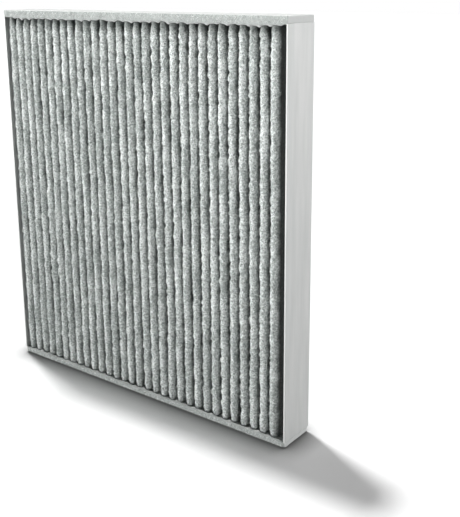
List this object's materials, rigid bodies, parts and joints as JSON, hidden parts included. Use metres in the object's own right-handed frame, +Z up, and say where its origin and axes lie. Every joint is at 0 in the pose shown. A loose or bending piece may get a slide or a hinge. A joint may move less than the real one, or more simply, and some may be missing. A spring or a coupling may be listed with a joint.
{
  "type": "cabin air filter",
  "caption": "Flat rectangular pleated air filter panel with felt strips over the pleat ends and thin stiff end strips, made to slide into a vehicle's ventilation housing.",
  "frame": {"origin": "centre of the underside, on the surface that the filter stands on", "axes": "+X across the pleats, to the right of the face that the air enters; -Y towards that face's side, +Y to the side where the air leaves; +Z up along the pleats"},
  "size_m": [0.222, 0.025, 0.24],
  "materials": {
    "filter_medium": "matte, fibrous thick non-woven with carbon grains showing through as grey",
    "felt": "matte needled polyester felt with cut edges",
    "stiff_fleece": "smooth calendered polyester fleece",
    "hot_melt": "satin set hot-melt adhesive"
  },
  "bodies": {
    "root": {"pleated_medium": "filter_medium", "top_felt_strip": "felt", "bottom_felt_strip": "felt", "left_end_strip": "stiff_fleece", "right_end_strip": "stiff_fleece", "top_glue_film": "hot_melt", "bottom_glue_film": "hot_melt", "left_glue_line": "hot_melt", "right_glue_line": "hot_melt"}
  },
  "joints": []
}
